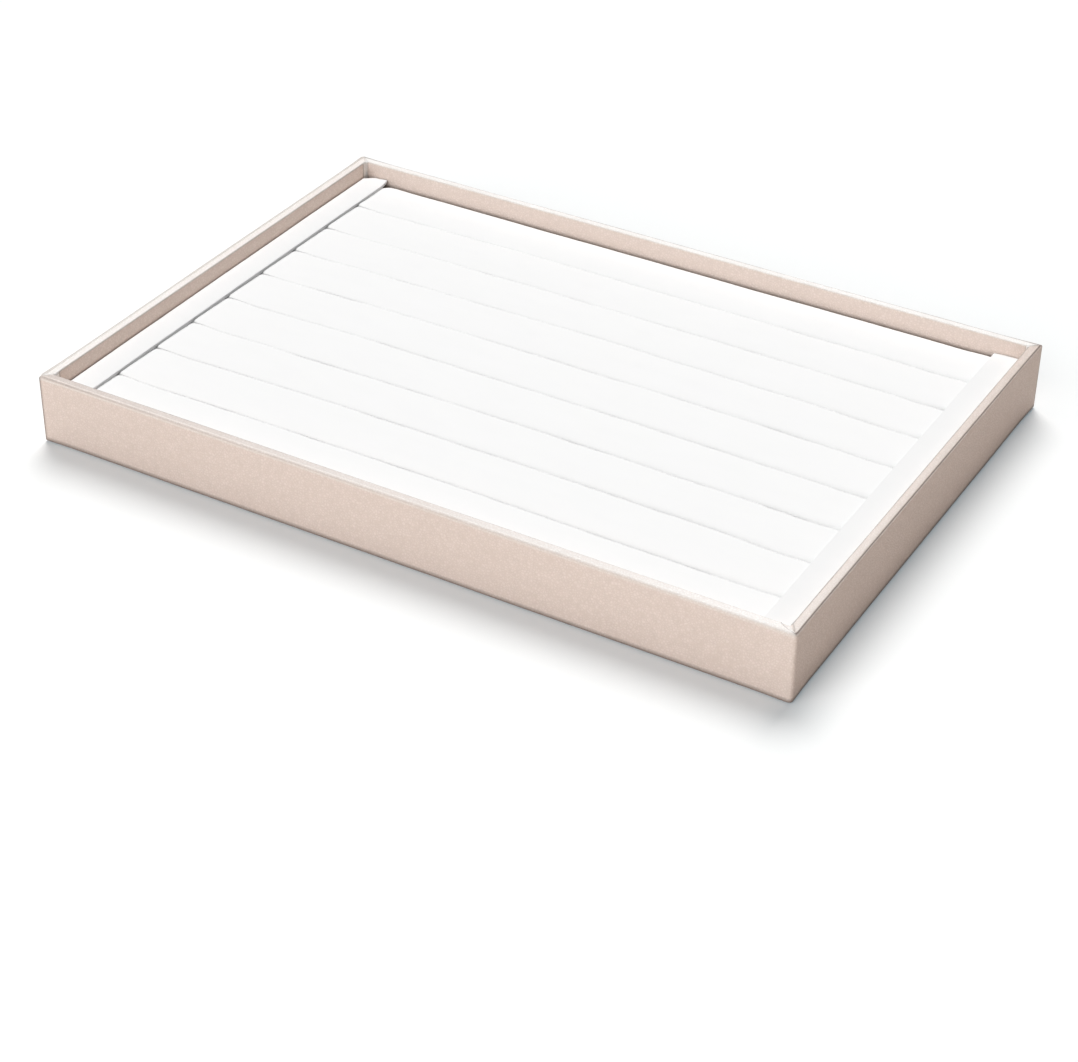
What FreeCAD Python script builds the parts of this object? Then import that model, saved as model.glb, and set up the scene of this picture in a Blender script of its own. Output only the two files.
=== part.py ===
import FreeCAD, Part
import os

import Sketcher

# Jewelry tray: a shallow tray of thin board in a leatherette wrap, and a lift-out insert of
# padded ring bars held down by a strip at each end. The origin is under the middle of the tray,
# +X runs to the right along its long side, +Y to the back and +Z up.

# Driving dimensions in millimetres, apart from bar_count
DIMENSIONS = {
    "tray_length": 350.0,
    "tray_width": 245.0,
    "tray_height": 32.0,
    "board_thickness": 3.0,
    "board_easing": 0.4,
    "base_thickness": 3.0,
    "wrap_thickness": 0.7,
    "wrap_turn_in": 14.0,
    "felt_thickness": 0.6,
    "felt_inset": 2.0,
    "liner_thickness": 0.5,
    "liner_clearance": 0.2,
    "insert_clearance": 0.4,
    "lift_gap": 2.6,
    "card_thickness": 2.0,
    "bar_count": 9,
    "bar_height": 16.0,
    "bar_swell": 1.0,
    "bar_crown": 0.6,
    "press_run": 45.0,
    "core_shoulder_radius": 1.0,
    "core_foot_radius": 0.5,
    "cover_thickness": 0.5,
    "slot_width": 0.4,
    "strip_width": 12.0,
    "strip_board_thickness": 1.5,
    "strip_board_easing": 0.4,
    "strip_end_gap": 0.6,
    "strip_end_fold": 3.0,
}

# Heights, from the table up
BOARD_FOOT = "(dims.felt_thickness + dims.wrap_thickness)"
BASE_TOP = f"({BOARD_FOOT} + dims.base_thickness)"
INSERT_FOOT = f"({BASE_TOP} + dims.liner_thickness)"
BAR_FOOT = f"({INSERT_FOOT} + dims.card_thickness)"
STRIP_FOOT = f"({BAR_FOOT} + dims.bar_height)"

# The wall is board with the wrap on both faces, and the well is the room between the walls
WALL = "(dims.board_thickness + 2 * dims.wrap_thickness)"
BOARD_INNER_FACE = "(dims.board_thickness + dims.wrap_thickness)"
WRAP_RADIUS = "(dims.board_easing + dims.wrap_thickness)"
WELL_LENGTH = f"(dims.tray_length - 2 * {WALL})"
WELL_WIDTH = f"(dims.tray_width - 2 * {WALL})"

# The insert sits against the left end of the well, with a gap to lift it by at the right end
INSERT_LENGTH = f"({WELL_LENGTH} - dims.insert_clearance - dims.lift_gap)"
INSERT_WIDTH = f"({WELL_WIDTH} - 2 * dims.insert_clearance)"
INSERT_MIDDLE = "((dims.insert_clearance - dims.lift_gap) / 2)"

# The bars share the insert's width, and each bar is a foam core in a cover
BAR_PITCH = f"(({INSERT_WIDTH} + dims.slot_width) / dims.bar_count)"
CORE_WIDTH = f"({BAR_PITCH} - dims.slot_width - 2 * dims.cover_thickness)"
CORE_TOP = "(dims.bar_height + dims.bar_swell - dims.cover_thickness)"
CROWN_RADIUS = f"(({CORE_WIDTH}^2 / 4 + dims.bar_crown^2) / (2 * dims.bar_crown))"

# How far a form stands out from the core inside it
CORE_ITSELF = "0"
COVER_OUTSIDE = "dims.cover_thickness"

# Each side's turn about Z, the middle of its outer face and its length
TURN_DEGREES = {"front": 0, "right": 90, "back": 180, "left": 270}
SIDES = {
    "front": ("0", "-dims.tray_width / 2", "dims.tray_length"),
    "right": ("dims.tray_length / 2", "0", "dims.tray_width"),
    "back": ("0", "dims.tray_width / 2", "dims.tray_length"),
    "left": ("-dims.tray_length / 2", "0", "dims.tray_width"),
}

SAME_PLACE = 1e-6

doc = FreeCAD.newDocument("jewelry_tray")
sheet = doc.addObject("Spreadsheet::Sheet", "dims")
for row, (alias, size) in enumerate(DIMENSIONS.items(), start=1):
    sheet.set(f"A{row}", alias)
    sheet.set(f"B{row}", str(size))
    sheet.setAlias(f"B{row}", alias)
doc.recompute()


def size_of(expression):
    """The number that an expression on the sheet comes to."""
    return float(sheet.evalExpression(expression))


def place(part, x="0", y="0", z="0", degrees=0):
    """Turn a part about Z and bind the place of its own origin."""
    turn = FreeCAD.Rotation(FreeCAD.Vector(0, 0, 1), degrees)
    part.Placement = FreeCAD.Placement(FreeCAD.Vector(), turn)
    for axis, expression in (("x", x), ("y", y), ("z", z)):
        part.setExpression(f"Placement.Base.{axis}", expression)


def new_body(name):
    """An empty body whose label names its file."""
    body = doc.addObject("PartDesign::Body", name)
    body.Label = name
    return body


def origin_plane(body, role):
    """One of a body's own origin planes."""
    return next(feature for feature in body.Origin.OriginFeatures if feature.Role == role)


def new_sketch(body, name, role):
    """An empty sketch on one of the body's origin planes."""
    sketch = body.newObject("Sketcher::SketchObject", name)
    sketch.AttachmentSupport = [(origin_plane(body, role), "")]
    sketch.MapMode = "FlatFace"
    return sketch


def bind_constraint(sketch, kind, references, expression):
    """Add a dimension to a sketch and bind it to an expression."""
    number = sketch.addConstraint(Sketcher.Constraint(kind, *references, size_of(expression)))
    sketch.setExpression(f"Constraints[{number}]", expression)


def draw_polygon(sketch, corners):
    """Closed outline of straight lines, with each corner's two coordinates bound."""
    points = [FreeCAD.Vector(size_of(across), size_of(up), 0) for across, up in corners]
    for start, end in zip(points, points[1:] + points[:1]):
        sketch.addGeometry(Part.LineSegment(start, end))
    for line, (across, up) in enumerate(corners):
        following = (line + 1) % len(corners)
        sketch.addConstraint(Sketcher.Constraint("Coincident", line, 2, following, 1))
        bind_constraint(sketch, "DistanceX", (-1, 1, line, 1), across)
        bind_constraint(sketch, "DistanceY", (-1, 1, line, 1), up)


def draw_bar_section(sketch, grow):
    """Bar's section, a box with an arched top, grown all round from the core's section."""
    half_width = f"({CORE_WIDTH} / 2 + {grow})"
    foot = f"(dims.cover_thickness - {grow})"
    arch_radius = f"({CROWN_RADIUS} + {grow})"
    arch_centre = f"({CORE_TOP} - {CROWN_RADIUS})"
    shoulder = f"({arch_centre} + sqrt({arch_radius}^2 - {half_width}^2))"
    left, right = -size_of(half_width), size_of(half_width)
    low, high = size_of(foot), size_of(shoulder)
    top = size_of(f"{arch_centre} + {arch_radius}")
    foot_left, foot_right = FreeCAD.Vector(left, low, 0), FreeCAD.Vector(right, low, 0)
    shoulder_left, shoulder_right = FreeCAD.Vector(left, high, 0), FreeCAD.Vector(right, high, 0)
    foot_line = sketch.addGeometry(Part.LineSegment(foot_left, foot_right))
    right_line = sketch.addGeometry(Part.LineSegment(foot_right, shoulder_right))
    arch = sketch.addGeometry(Part.Arc(shoulder_right, FreeCAD.Vector(0, top, 0), shoulder_left))
    left_line = sketch.addGeometry(Part.LineSegment(shoulder_left, foot_left))
    outline = [foot_line, right_line, arch, left_line]
    for line, following in zip(outline, outline[1:] + outline[:1]):
        sketch.addConstraint(Sketcher.Constraint("Coincident", line, 2, following, 1))
    sketch.addConstraint(Sketcher.Constraint("Horizontal", foot_line))
    sketch.addConstraint(Sketcher.Constraint("Vertical", right_line))
    sketch.addConstraint(Sketcher.Constraint("Vertical", left_line))
    sketch.addConstraint(Sketcher.Constraint("PointOnObject", arch, 3, -2))
    bind_constraint(sketch, "DistanceX", (-1, 1, foot_line, 2), half_width)
    bind_constraint(sketch, "DistanceX", (-1, 1, foot_line, 1), f"-{half_width}")
    bind_constraint(sketch, "DistanceY", (-1, 1, foot_line, 1), foot)
    bind_constraint(sketch, "DistanceY", (-1, 1, arch, 3), arch_centre)
    bind_constraint(sketch, "Radius", (arch,), arch_radius)
    return [(left, low), (right, low)], [(left, high), (right, high)]


def pad(body, sketch, length, both_ways=True):
    """Pad a sketch by a bound length, half to each side of its plane or all up from it."""
    feature = body.newObject("PartDesign::Pad", f"{body.Name}_pad")
    feature.Profile = sketch
    feature.setExpression("Length", length)
    if both_ways:
        feature.SideType = "Symmetric"
    doc.recompute()
    return feature


def took_material(before, after):
    """Stop where a cut left the solid as it was."""
    if after.Shape.Volume > before.Shape.Volume - SAME_PLACE:
        raise RuntimeError(f"{after.Label} cuts nothing")


def cut_both_ends(body, before, sketch):
    """Cut a sketch right through at one end, and its mirror image at the other end."""
    cut = body.newObject("PartDesign::Pocket", f"{body.Name}_end_cut")
    cut.Profile = sketch
    cut.Type = "ThroughAll"
    cut.SideType = "Symmetric"
    doc.recompute()
    took_material(before, cut)
    mirrored = body.newObject("PartDesign::Mirrored", f"{body.Name}_far_end_cut")
    mirrored.Originals = [cut]
    mirrored.MirrorPlane = (origin_plane(body, "YZ_Plane"), [""])
    body.Tip = mirrored
    doc.recompute()
    took_material(cut, mirrored)


def edges_along_x(feature, places):
    """Names of the edges along X that pass through the given places (y, z)."""
    names = []
    for number, edge in enumerate(feature.Shape.Edges, start=1):
        ends = [vertex.Point for vertex in edge.Vertexes]
        for y, z in places:
            if all(abs(end.y - y) < SAME_PLACE and abs(end.z - z) < SAME_PLACE for end in ends):
                names.append(f"Edge{number}")
    return names


def round_edges(body, feature, names, radius):
    """Fillet the named edges or faces with a bound radius."""
    fillet = body.newObject("PartDesign::Fillet", f"{body.Name}_rounding")
    fillet.Base = (feature, names)
    fillet.setExpression("Radius", radius)
    doc.recompute()
    return fillet


def mitred_side(name, side, section, roundings):
    """One side of the tray: a section along the outer face, rounded and mitred at both ends."""
    x, y, length = SIDES[side]
    body = new_body(name)
    sketch = new_sketch(body, f"{name}_section", "YZ_Plane")
    draw_polygon(sketch, section)
    solid = pad(body, sketch, length)
    for corners, radius in roundings:
        places = [(size_of(y_place), size_of(z_place)) for y_place, z_place in corners]
        solid = round_edges(body, solid, edges_along_x(solid, places), radius)
    end = f"(-{length} / 2)"
    outside = "dims.wrap_turn_in"
    inside = f"(dims.wrap_turn_in + {WALL})"
    mitre = new_sketch(body, f"{name}_mitre", "XY_Plane")
    draw_polygon(mitre, [
        (f"{end} - {outside}", f"-{outside}"),
        (f"{end} + {inside}", inside),
        (f"{end} - {outside}", inside),
    ])
    cut_both_ends(body, solid, mitre)
    place(body, x=x, y=y, degrees=TURN_DEGREES[side])
    return body


def side_board(side):
    """Wall board of one side, its top edges and its outer bottom edge eased."""
    outer, inner = "dims.wrap_thickness", BOARD_INNER_FACE
    foot, top = BOARD_FOOT, "(dims.tray_height - dims.wrap_thickness)"
    section = [(outer, foot), (inner, foot), (inner, top), (outer, top)]
    eased = [(outer, foot), (inner, top), (outer, top)]
    return mitred_side(f"{side}_wall_board", side, section, [(eased, "dims.board_easing")])


def side_wrap(side):
    """Wrap of one side: turned under the base, up the outer face, over the rim and down inside."""
    foot, top = "dims.felt_thickness", "dims.tray_height"
    outer_back, inner_back = "dims.wrap_thickness", BOARD_INNER_FACE
    under_top, over_foot = BOARD_FOOT, "(dims.tray_height - dims.wrap_thickness)"
    section = [
        ("0", foot),
        ("dims.wrap_turn_in", foot),
        ("dims.wrap_turn_in", under_top),
        (outer_back, under_top),
        (outer_back, over_foot),
        (inner_back, over_foot),
        (inner_back, BASE_TOP),
        (WALL, BASE_TOP),
        (WALL, top),
        ("0", top),
    ]
    outside = [("0", foot), ("0", top), (WALL, top)]
    inside = [(outer_back, under_top), (outer_back, over_foot), (inner_back, over_foot)]
    roundings = [(outside, WRAP_RADIUS), (inside, "dims.board_easing")]
    return mitred_side(f"{side}_wrap", side, section, roundings)


def plate(name, length, width, thickness, foot, middle="0"):
    """Flat sheet or board lying level."""
    box = doc.addObject("Part::Box", name)
    box.Label = name
    box.setExpression("Length", length)
    box.setExpression("Width", width)
    box.setExpression("Height", thickness)
    place(box, x=f"{middle} - {length} / 2", y=f"-{width} / 2", z=foot)
    return box


def rectangle_sketch(body, name, half_length, half_width):
    """Rectangle about the middle of a body's XY plane."""
    sketch = new_sketch(body, name, "XY_Plane")
    draw_polygon(sketch, [
        (f"-{half_length}", f"-{half_width}"),
        (half_length, f"-{half_width}"),
        (half_length, half_width),
        (f"-{half_length}", half_width),
    ])
    return sketch


def bottom_felt():
    """Felt under the tray: its border lies on the turned-in wrap, its middle reaches the base."""
    body = new_body("bottom_felt")
    border = [f"(dims.{size} / 2 - dims.felt_inset)" for size in ("tray_length", "tray_width")]
    middle = [f"(dims.{size} / 2 - dims.wrap_turn_in)" for size in ("tray_length", "tray_width")]
    hollow = [f"({half} - dims.felt_thickness)" for half in middle]
    pad(body, rectangle_sketch(body, "felt_border", *border), "dims.felt_thickness", both_ways=False)
    raised = pad(body, rectangle_sketch(body, "felt_middle", *middle), BOARD_FOOT, both_ways=False)
    dent = body.newObject("PartDesign::Pocket", "felt_dent")
    dent.Profile = rectangle_sketch(body, "felt_hollow", *hollow)
    dent.Reversed = True
    dent.setExpression("Length", "dims.wrap_thickness")
    doc.recompute()
    took_material(raised, dent)
    return body


def bar_form(name, number, grow):
    """Padded bar, or the core inside it: arched across, and pressed flat under the strips."""
    body = new_body(name)
    sketch = new_sketch(body, f"{name}_section", "YZ_Plane")
    feet, shoulders = draw_bar_section(sketch, grow)
    solid = pad(body, sketch, INSERT_LENGTH)
    shoulder_radius = f"(dims.core_shoulder_radius + {grow})"
    foot_radius = f"(dims.core_foot_radius + {grow})"
    solid = round_edges(body, solid, edges_along_x(solid, shoulders), shoulder_radius)
    solid = round_edges(body, solid, edges_along_x(solid, feet), foot_radius)
    end = f"(-{INSERT_LENGTH} / 2)"
    pressed = f"(dims.bar_height - dims.cover_thickness + {grow})"
    clear_above = f"({pressed} + 2 * dims.bar_swell)"
    press = new_sketch(body, f"{name}_press", "XZ_Plane")
    draw_polygon(press, [
        (f"{end} - dims.strip_width", pressed),
        (f"{end} + dims.strip_width", pressed),
        (f"{end} + dims.strip_width + 2 * dims.press_run", clear_above),
        (f"{end} - dims.strip_width", clear_above),
    ])
    cut_both_ends(body, solid, press)
    across = f"({number} - (dims.bar_count + 1) / 2) * {BAR_PITCH}"
    place(body, x=INSERT_MIDDLE, y=across, z=BAR_FOOT)
    return body


def strip_form(name, direction, grow, fold):
    """Press strip, or the board inside it, lying across the bars with its top edges rounded."""
    body = new_body(name)
    half_width = f"(dims.strip_width / 2 - dims.cover_thickness + {grow})"
    half_length = f"({INSERT_WIDTH} / 2 - dims.strip_end_gap - {fold})"
    thickness = f"(dims.strip_board_thickness + {grow})"
    sketch = rectangle_sketch(body, f"{name}_plan", half_width, half_length)
    solid = pad(body, sketch, thickness, both_ways=False)
    top = max(range(len(solid.Shape.Faces)), key=lambda face: solid.Shape.Faces[face].CenterOfMass.z)
    round_edges(body, solid, [f"Face{top + 1}"], f"(dims.strip_board_easing + {grow})")
    along = f"{INSERT_MIDDLE} + {direction} * ({INSERT_LENGTH} - dims.strip_width) / 2"
    place(body, x=along, z=STRIP_FOOT)
    return body


def cover(name, form, core):
    """Fabric cover: what is left of a padded form once its core is taken out."""
    shell = doc.addObject("Part::Cut", name)
    shell.Label = name
    shell.Base = form
    shell.Tool = core
    doc.recompute()
    took_material(form, shell)
    return shell


# The tray: boards, the wrap around them, and the felt and liner on the two faces of its base
base_span = [f"(dims.{size} - 2 * {BOARD_INNER_FACE})" for size in ("tray_length", "tray_width")]
liner_span = [f"({size} - 2 * dims.liner_clearance)" for size in (WELL_LENGTH, WELL_WIDTH)]
parts = [plate("base_board", *base_span, "dims.base_thickness", BOARD_FOOT)]
for side in SIDES:
    parts += [side_board(side), side_wrap(side)]
parts.append(plate("floor_liner", *liner_span, "dims.liner_thickness", BASE_TOP))
parts.append(bottom_felt())

# The insert: a card, the ring bars side by side from front to back, and the strips over their ends
insert_sizes = (INSERT_LENGTH, INSERT_WIDTH, "dims.card_thickness", INSERT_FOOT, INSERT_MIDDLE)
parts.append(plate("insert_card", *insert_sizes))
for number in range(1, int(sheet.bar_count) + 1):
    core = bar_form(f"bar_core_{number}", number, CORE_ITSELF)
    outside = bar_form(f"bar_form_{number}", number, COVER_OUTSIDE)
    parts += [core, cover(f"bar_cover_{number}", outside, core)]
for side, direction in (("left", -1), ("right", 1)):
    board = strip_form(f"{side}_strip_board", direction, CORE_ITSELF, "dims.strip_end_fold")
    outside = strip_form(f"{side}_strip_form", direction, COVER_OUTSIDE, "0")
    parts += [board, cover(f"{side}_strip_cover", outside, board)]
doc.recompute()

# Every object has to stand, and every part has to be one sound solid, before anything is written
for item in doc.Objects:
    if "Invalid" in item.State or "Error" in item.State:
        raise RuntimeError(f"{item.Label} failed to build")
for part in parts:
    if part.Shape.isNull() or not part.Shape.isValid() or len(part.Shape.Solids) != 1:
        raise RuntimeError(f"{part.Label} is not one sound solid")

os.makedirs("parts", exist_ok=True)
for part in parts:
    part.Shape.exportStep(f"parts/{part.Label}.step")
    print(f"{part.Label}: {part.Shape.Volume:.1f} cubic mm")
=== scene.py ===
import math

import bpy
import numpy as np
from mathutils import Euler, Matrix, Vector


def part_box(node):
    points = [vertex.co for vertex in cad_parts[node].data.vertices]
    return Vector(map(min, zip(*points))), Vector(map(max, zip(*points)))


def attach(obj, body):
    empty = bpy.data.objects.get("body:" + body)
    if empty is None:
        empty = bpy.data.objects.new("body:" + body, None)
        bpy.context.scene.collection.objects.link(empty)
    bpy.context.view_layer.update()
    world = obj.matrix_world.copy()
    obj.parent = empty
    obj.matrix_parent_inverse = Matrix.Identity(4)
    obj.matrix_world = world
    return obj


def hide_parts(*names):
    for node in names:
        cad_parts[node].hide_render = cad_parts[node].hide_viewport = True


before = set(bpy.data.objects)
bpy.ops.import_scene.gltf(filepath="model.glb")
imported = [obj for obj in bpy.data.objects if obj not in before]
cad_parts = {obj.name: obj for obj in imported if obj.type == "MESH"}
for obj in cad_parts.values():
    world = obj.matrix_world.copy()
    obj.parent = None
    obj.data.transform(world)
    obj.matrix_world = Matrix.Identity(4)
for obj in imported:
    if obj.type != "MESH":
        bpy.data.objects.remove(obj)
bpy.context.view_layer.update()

# Base and wall boards: raw fibreboard, sawn to width, mitred at the corners and glued round the base.
# The wrap covers them all round, so nothing but the panel's fibre and saw-brown colour is given to them.
MM = 0.001


class Value:
    """A number inside a material: sums, differences and products of it add Math nodes."""

    def __init__(self, tree, socket):
        self.tree = tree
        self.socket = socket

    def math(self, operation, first, second):
        node = self.tree.nodes.new("ShaderNodeMath")
        node.operation = operation
        for slot, term in zip(node.inputs, (first, second)):
            if isinstance(term, Value):
                self.tree.links.new(term.socket, slot)
            else:
                slot.default_value = term
        return Value(self.tree, node.outputs[0])

    def __add__(self, other):
        return self.math("ADD", self, other)

    def __radd__(self, other):
        return self.math("ADD", other, self)

    def __rsub__(self, other):
        return self.math("SUBTRACT", other, self)

    def __mul__(self, other):
        return self.math("MULTIPLY", self, other)

    def __rmul__(self, other):
        return self.math("MULTIPLY", other, self)


class Finish:
    """A material being made: node() adds any node to it, and feed() drives a socket of its shader."""

    def __init__(self, name, constants):
        self.material = bpy.data.materials.new(name)
        self.material.use_nodes = True
        self.tree = self.material.node_tree
        self.shader = self.tree.nodes["Principled BSDF"]
        for socket, number in constants.items():
            self.shader.inputs[socket].default_value = number
        self.place = self.node("TexCoord", output="Object")

    def node(self, kind, settings=(), inputs=(), output=0):
        """Add a node, make its settings, fill its sockets with values or links, and give one output."""
        node = self.tree.nodes.new("ShaderNode" + kind)
        for name, setting in dict(settings).items():
            setattr(node, name, setting)
        for name, term in dict(inputs).items():
            if isinstance(term, Value):
                self.tree.links.new(term.socket, node.inputs[name])
            else:
                node.inputs[name].default_value = term
        return Value(self.tree, node.outputs[output])

    def noise(self, scale, detail=3.0, stretch=(1, 1, 1)):
        """Smooth noise from 0 to 1 on the piece's own coordinates, stretched by a factor on each axis."""
        place = self.node("Mapping", inputs={"Vector": self.place, "Scale": stretch})
        return self.node("TexNoise", inputs={"Vector": place, "Scale": scale, "Detail": detail})

    def ramp(self, number, low, high):
        """A number brought from the range low to high into 0 to 1, with soft ends."""
        limits = {"Value": number, "From Min": low, "From Max": high}
        return self.node("MapRange", {"interpolation_type": "SMOOTHSTEP"}, limits)

    def mix(self, share, first, second):
        """Two colours mixed by a share."""
        return self.node("Mix", {"data_type": "RGBA"}, {0: share, 6: first, 7: second}, output=2)

    def bump(self, height, depth):
        """Normal of a relief whose height runs from 0 to 1 over a real depth."""
        return self.node("Bump", inputs={"Height": height, "Distance": depth, "Strength": 1.0})

    def feed(self, socket, value):
        self.tree.links.new(value.socket, self.shader.inputs[socket])


def fibreboard():
    """Pressed wood fibre: pale and dark flecks, drawn out along the board."""
    finish = Finish("fibreboard", {"Roughness": 0.85, "Specular IOR Level": 0.25})
    fleck = finish.noise(900, 5.0, (0.4, 1, 1))
    cloud = finish.noise(60, 2.0)
    brown = finish.mix(fleck, (0.30, 0.19, 0.10, 1), (0.60, 0.44, 0.28, 1))
    finish.feed("Base Color", finish.mix(0.35 * cloud, brown, (0.42, 0.30, 0.19, 1)))
    finish.feed("Normal", finish.bump(fleck, 0.10 * MM))
    return finish.material


def dress(piece, material):
    """Give a piece one material in place of what it had."""
    piece.data.materials.clear()
    piece.data.materials.append(material)


SIDES = ("front", "right", "back", "left")
board_finish = fibreboard()
for node in ["base_board"] + [f"{side}_wall_board" for side in SIDES]:
    dress(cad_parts[node], board_finish)

# Leatherette wrap: a thin coated sheet with a fine pebble grain, champagne, one run to each side.
# It is glued on from the turn-in under the base, up the outer face, over the rim and down inside, and its
# ends are tucked and folded at the corners, which leaves creases on the rim and bridges each inner corner.
WRAP_THICKNESS = 0.7 * MM
OUTER_RIM_RADIUS = 1.15 * MM
INNER_RIM_RADIUS = 0.75 * MM
FOOT_RADIUS = 0.6 * MM
SHARP_CORNER, ROUND_CORNER = 0.4 * MM, 1.7 * MM
OUTER_CORNER_RADII = {
    "front": (SHARP_CORNER, ROUND_CORNER),
    "right": (ROUND_CORNER, SHARP_CORNER),
    "back": (SHARP_CORNER, SHARP_CORNER),
    "left": (SHARP_CORNER, SHARP_CORNER),
}
CORNER_SWELL = 0.45 * MM
CORNER_SWELL_REACH = 10.0 * MM
BRIDGE_ALONG_SHORT = 3.2 * MM
BRIDGE_ALONG_LONG = 1.0 * MM
BRIDGE_SHARPNESS = 6
FOLD_ZONE = 11.0 * MM
FOLD_STEP = 0.25 * MM
MIDDLE_STEP = 4.0 * MM
CREASE_SOFTNESS = 0.45 * MM
ROLLED_EDGE = 0.3
# Seam: a groove sunk along the rim, and a dark line painted along it, partly the sheet's cut edge and
# partly painted shade in the groove
SEAM_DEPTH = 0.32 * MM
SEAM_WIDTHS = {"front": 0.26 * MM, "right": 0.26 * MM, "back": 0.42 * MM, "left": 0.36 * MM}
SEAM_PLACES = {"front": 1.20 * MM, "right": 0.24 * MM, "back": 0.72 * MM, "left": 0.55 * MM}
SEAM_STRENGTHS = {"front": (0.0, 0.0), "right": (1.5, 1.5), "back": (0.9, 0.9), "left": (0.5, 0.5)}
# Dark line along the front's outer turn, stronger near its first corner: partly the sheet's seam, partly
# painted shade
OUTER_SEAM_SHADES = {"front": (0.21, 0.0), "right": (0.0, 0.0), "back": (0.0, 0.0), "left": (0.0, 0.0)}
OUTER_SEAM_CORNER_SHADES = {"front": 0.20, "right": 0.0, "back": 0.0, "left": 0.0}
OUTER_SEAM_CORNER_RUN = 45.0 * MM
OUTER_SEAM_PLACES = (0.90 * MM, 0.25 * MM)
OUTER_SEAM_WIDTH = 0.36 * MM
RIM_BEADS = {"front": 0.28 * MM, "right": 0.0, "back": 0.0, "left": 0.60 * MM}
BEAD_END_RUN = 3.0 * MM
# Painted shade along the rim's inner edge, where the padding meets the wall
INNER_EDGE_WIDTH = 0.36 * MM
INNER_EDGE_PLACES = {"front": 0.35 * MM, "right": 0.50 * MM, "back": 0.30 * MM, "left": 0.60 * MM}
INNER_EDGE_SHADES = {
    "front": (0.9, 0.15),
    "right": (0.85, 0.85),
    "back": (0.0, 0.0),
    "left": (0.5, 0.5),
}
# Painted shade over the rim's top, starting a little past its outer turn, darkest at the front's left end
RIM_TOP_RUN = 0.3 * MM
RIM_SHADE = {"front": (0.26, 0.0), "right": (0.0, 0.10), "back": (0.0, 0.0), "left": (0.0, 0.0)}
# Paler colour on the rim's top: wear and a painted sheen, changing from end to end
RIM_WEAR_AND_SHEEN = {"front": (0.25, 0.90), "right": (0.40, 0.0), "back": (1.0, 0.9), "left": (0.6, 0.85)}
RIM_WEAR_AND_SHEEN_SPREADS = {"front": 0.5, "right": 1.0, "back": 1.0, "left": 1.0}
WEAR_DRIFT = 0.1
WEAR_DRIFT_LENGTH = 90.0 * MM
# Painted highlight along the front's outer turn
RIM_EDGE_HIGHLIGHT = {"front": (0.55, 0.35), "right": (0.0, 0.0), "back": (0.0, 0.0), "left": (0.0, 0.0)}
RIM_EDGE_HIGHLIGHT_PLACES = (0.05 * MM, -0.25 * MM)
RIM_EDGE_HIGHLIGHT_WIDTH = 0.50 * MM
UPPER_FACE = 2.5 * MM
RIM_FALLS = {"front": 0.05 * MM, "right": 0.30 * MM, "back": 0.0, "left": 0.0}
RIM_FALL_REACH = 2.4 * MM
# Painted shade lines: along each rim crease's step, in the fold onto each inner corner's bridge, and down
# the outer corner edges
CREASE_SHADE_WIDTH = 0.36 * MM
CORNER_SHADE_WIDTH = 0.32 * MM
CORNER_LINE_PLACES = {"front": 0.9 * MM, "right": 2.9 * MM, "back": 0.9 * MM, "left": 2.9 * MM}
CORNER_SHADES = {"front": 0.3, "right": 0.7, "back": 0.3, "left": 0.7}
EDGE_SHADES = {"front": (1.0, 0.0), "right": (0.0, 0.6), "back": (0.6, 0.6), "left": (0.6, 1.0)}
EDGE_SHADE_WIDTH = 0.75 * MM
# Painted highlight where the sheet bridges each inner corner
CORNER_HIGHLIGHT = 1.0
FOOT_SAG = 0.45 * MM
FOOT_SAG_REACH = 0.8 * MM
# Painted contact shade along the outer foot, darkest at the floor
FOOT_SHADE = 1.0
FOOT_SHADE_HEIGHT = 1.0 * MM
# Painted shade on the inner walls along the gap beside the insert's top
GAP_SHADE = 0.75
GAP_SHADE_HEIGHTS = {"front": 22.0 * MM, "right": 24.6 * MM, "back": 22.0 * MM, "left": 24.6 * MM}
GAP_SHADE_WIDTHS = {"front": 0.85 * MM, "right": 0.45 * MM, "back": 0.85 * MM, "left": 0.45 * MM}
WALL_WAVE = 0.09 * MM
WALL_WAVE_LENGTH = 160.0 * MM
RELIEF_SEED, WEAR_SEED = 100, 200
TURN_TOLERANCE = 0.01 * MM
SHARP_ANGLE = math.radians(50)

wrap_low, wrap_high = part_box("front_wrap")
TRAY_HALVES = {"front": wrap_high.x, "back": wrap_high.x, "left": -wrap_low.y, "right": -wrap_low.y}
HALF_LENGTH, HALF_WIDTH = wrap_high.x, -wrap_low.y
RIM_HEIGHT = wrap_high.z
TURN_IN = wrap_high.y - wrap_low.y
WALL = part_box("front_wall_board")[1].y + WRAP_THICKNESS - wrap_low.y
BASE_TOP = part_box("base_board")[1].z

# Each rim crease, at a side's two ends: its slope off the corner, how much it curves back, its depth, and
# how dark a line of painted shade it leaves along its step
RIM_CREASES = {
    "front": ((1.25, 0.00, 0.16 * MM, 0.4), (3.10, 0.28, 0.38 * MM, 1.0)),
    "right": ((1.45, 0.00, 0.16 * MM, 0.5), (1.50, 0.05, 0.20 * MM, 0.6)),
    "back": ((1.30, 0.04, 0.16 * MM, 0.3), (1.20, 0.00, 0.14 * MM, 0.3)),
    "left": ((1.40, 0.05, 0.18 * MM, 0.3), (1.20, 0.00, 0.14 * MM, 0.3)),
}


def smooth_step(share):
    """0 below 0, 1 above 1, and 3s^2 - 2s^3 between."""
    share = np.clip(share, 0, 1)
    return share * share * (3 - 2 * share)


def slow_waves(rng, along, longest, count=4):
    """Sum of a few sines of falling length and random phase, of about unit height."""
    lengths = longest / np.arange(1, count + 1)
    phases = rng.uniform(0, 2 * math.pi, count)
    weights = rng.uniform(0.5, 1.0, count) / np.arange(1, count + 1)
    waves = np.sin(2 * math.pi * along[..., None] / lengths + phases)
    return (waves * weights).sum(-1) / weights.sum()


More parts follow.
